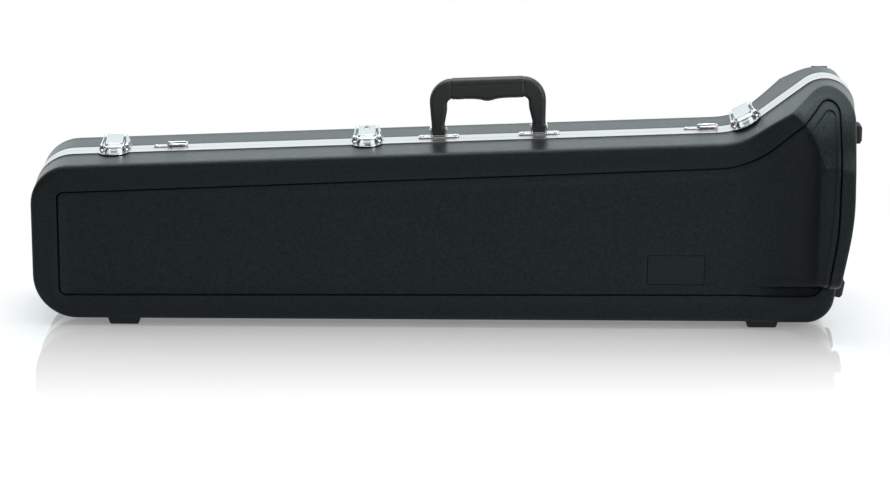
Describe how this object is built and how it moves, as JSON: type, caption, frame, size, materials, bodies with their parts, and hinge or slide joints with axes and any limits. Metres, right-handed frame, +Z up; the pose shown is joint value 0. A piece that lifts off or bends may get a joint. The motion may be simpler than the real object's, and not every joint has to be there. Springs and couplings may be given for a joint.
{
  "type": "trombone case",
  "caption": "Moulded hard case for a trombone: two hinged shells with a bell drum, metal valance, draw latches, carrying handle and padded tray.",
  "frame": {"origin": "centre of the overall footprint on the floor, in the parting plane between the two shells", "axes": "+X along the case to the bell end, +Y from the lid to the base, +Z up as the case stands on its hinge side"},
  "size_m": [0.9119, 0.244, 0.2737],
  "materials": {
    "shell": "fine leather grain, semi-gloss moulded plastic",
    "valance": "satin anodised extrusion",
    "chrome": "bright plated steel",
    "liner": "short-pile plush over foam",
    "steel": "plain bright steel",
    "handle": "soft black leather-look moulding",
    "rubber": "black rubber",
    "badge": "bare moulded plate",
    "button": "black nylon"
  },
  "bodies": {
    "base": {"back_shell": "shell", "back_valance": "valance", "base_liner": "liner", "hinge_leaves_base": "steel", "hinge_pins": "steel", "hinge_rivets_base": "steel", "latch_base_left": "chrome", "latch_base_middle": "chrome", "latch_base_right": "chrome", "latch_pivots": "chrome", "latch_base_rivets": "chrome", "handle_bracket_left": "chrome", "handle_bracket_right": "chrome", "handle_pins": "chrome", "bracket_rivets": "chrome", "strap_plate_left": "chrome", "strap_plate_right": "chrome", "strap_rivets": "chrome", "spine_feet_base": "rubber", "foot_screws_base": "steel", "end_feet_base": "rubber", "back_feet": "rubber", "drum_bumper": "rubber"},
    "lid": {"front_shell": "shell", "front_valance": "valance", "lid_liner": "liner", "slide_button_screws": "steel", "hinge_leaves_lid": "steel", "hinge_rivets_lid": "steel", "latch_keeper_left": "chrome", "latch_keeper_middle": "chrome", "latch_keeper_right": "chrome", "keeper_rivets": "chrome", "spine_feet_lid": "rubber", "foot_screws_lid": "steel", "end_feet_lid": "rubber", "badge_plate": "badge"},
    "lever_left": {"latch_lever_left": "chrome"},
    "hook_left": {"latch_hook_left": "chrome"},
    "lever_middle": {"latch_lever_middle": "chrome"},
    "hook_middle": {"latch_hook_middle": "chrome"},
    "lever_right": {"latch_lever_right": "chrome"},
    "hook_right": {"latch_hook_right": "chrome"},
    "lock": {"lock_cylinder": "chrome"},
    "handle": {"handle_grip": "handle"},
    "ring_left": {"strap_ring_left": "chrome"},
    "ring_right": {"strap_ring_right": "chrome"},
    "button_left": {"slide_button_left": "button"},
    "button_right": {"slide_button_right": "button"}
  },
  "joints": [
    {"name": "lid_hinge", "type": "hinge", "parent": "base", "child": "lid", "pos_m": [0, 0, 0.0044], "axis": [1, 0, 0], "range_deg": [0, 150]},
    {"name": "lever_left_hinge", "type": "hinge", "parent": "base", "child": "lever_left", "pos_m": [-0.36668, -0.001, 0.18913], "axis": [0.9992, 0, 0.0401], "range_deg": [0, 85]},
    {"name": "hook_left_hinge", "type": "hinge", "parent": "lever_left", "child": "hook_left", "pos_m": [-0.36666, 0.008, 0.18863], "axis": [0.9992, 0, 0.0401], "range_deg": [-88, 0]},
    {"name": "lever_middle_hinge", "type": "hinge", "parent": "base", "child": "lever_middle", "pos_m": [-0.08618, -0.001, 0.20037], "axis": [0.9992, 0, 0.0401], "range_deg": [0, 85]},
    {"name": "hook_middle_hinge", "type": "hinge", "parent": "lever_middle", "child": "hook_middle", "pos_m": [-0.08616, 0.008, 0.19987], "axis": [0.9992, 0, 0.0401], "range_deg": [-88, 0]},
    {"name": "lever_right_hinge", "type": "hinge", "parent": "base", "child": "lever_right", "pos_m": [0.33122, -0.001, 0.2259], "axis": [0.8829, 0, 0.4695], "range_deg": [0, 85]},
    {"name": "hook_right_hinge", "type": "hinge", "parent": "lever_right", "child": "hook_right", "pos_m": [0.33146, 0.008, 0.22546], "axis": [0.8829, 0, 0.4695], "range_deg": [-88, 0]},
    {"name": "lock_turn", "type": "hinge", "parent": "lever_middle", "child": "lock", "pos_m": [-0.08648, 0.0145, 0.20777], "axis": [-0.0388, -0.253, 0.9667], "range_deg": [0, 90]},
    {"name": "handle_hinge", "type": "hinge", "parent": "base", "child": "handle", "pos_m": [0.04886, 0.00725, 0.20979], "axis": [0.9992, 0, 0.0401], "range_deg": [-80, 80]},
    {"name": "ring_left_hinge", "type": "hinge", "parent": "base", "child": "ring_left", "pos_m": [-0.30611, 0.00725, 0.18975], "axis": [0, -1, 0], "range_deg": [0, 175]},
    {"name": "ring_right_hinge", "type": "hinge", "parent": "base", "child": "ring_right", "pos_m": [0.28289, 0.00725, 0.21337], "axis": [0, -1, 0], "range_deg": [0, 175]},
    {"name": "button_left_turn", "type": "hinge", "parent": "lid", "child": "button_left", "pos_m": [-0.25, -0.0064, 0.095], "axis": [0, 1, 0], "range_deg": [0, 90]},
    {"name": "button_right_turn", "type": "hinge", "parent": "lid", "child": "button_right", "pos_m": [0.02, -0.0064, 0.095], "axis": [0, 1, 0], "range_deg": [0, 90]}
  ],
  "couplings": [
    {"joint": "hook_left_hinge", "follows": "lever_left_hinge", "ratio": -1},
    {"joint": "hook_middle_hinge", "follows": "lever_middle_hinge", "ratio": -1},
    {"joint": "hook_right_hinge", "follows": "lever_right_hinge", "ratio": -1}
  ]
}
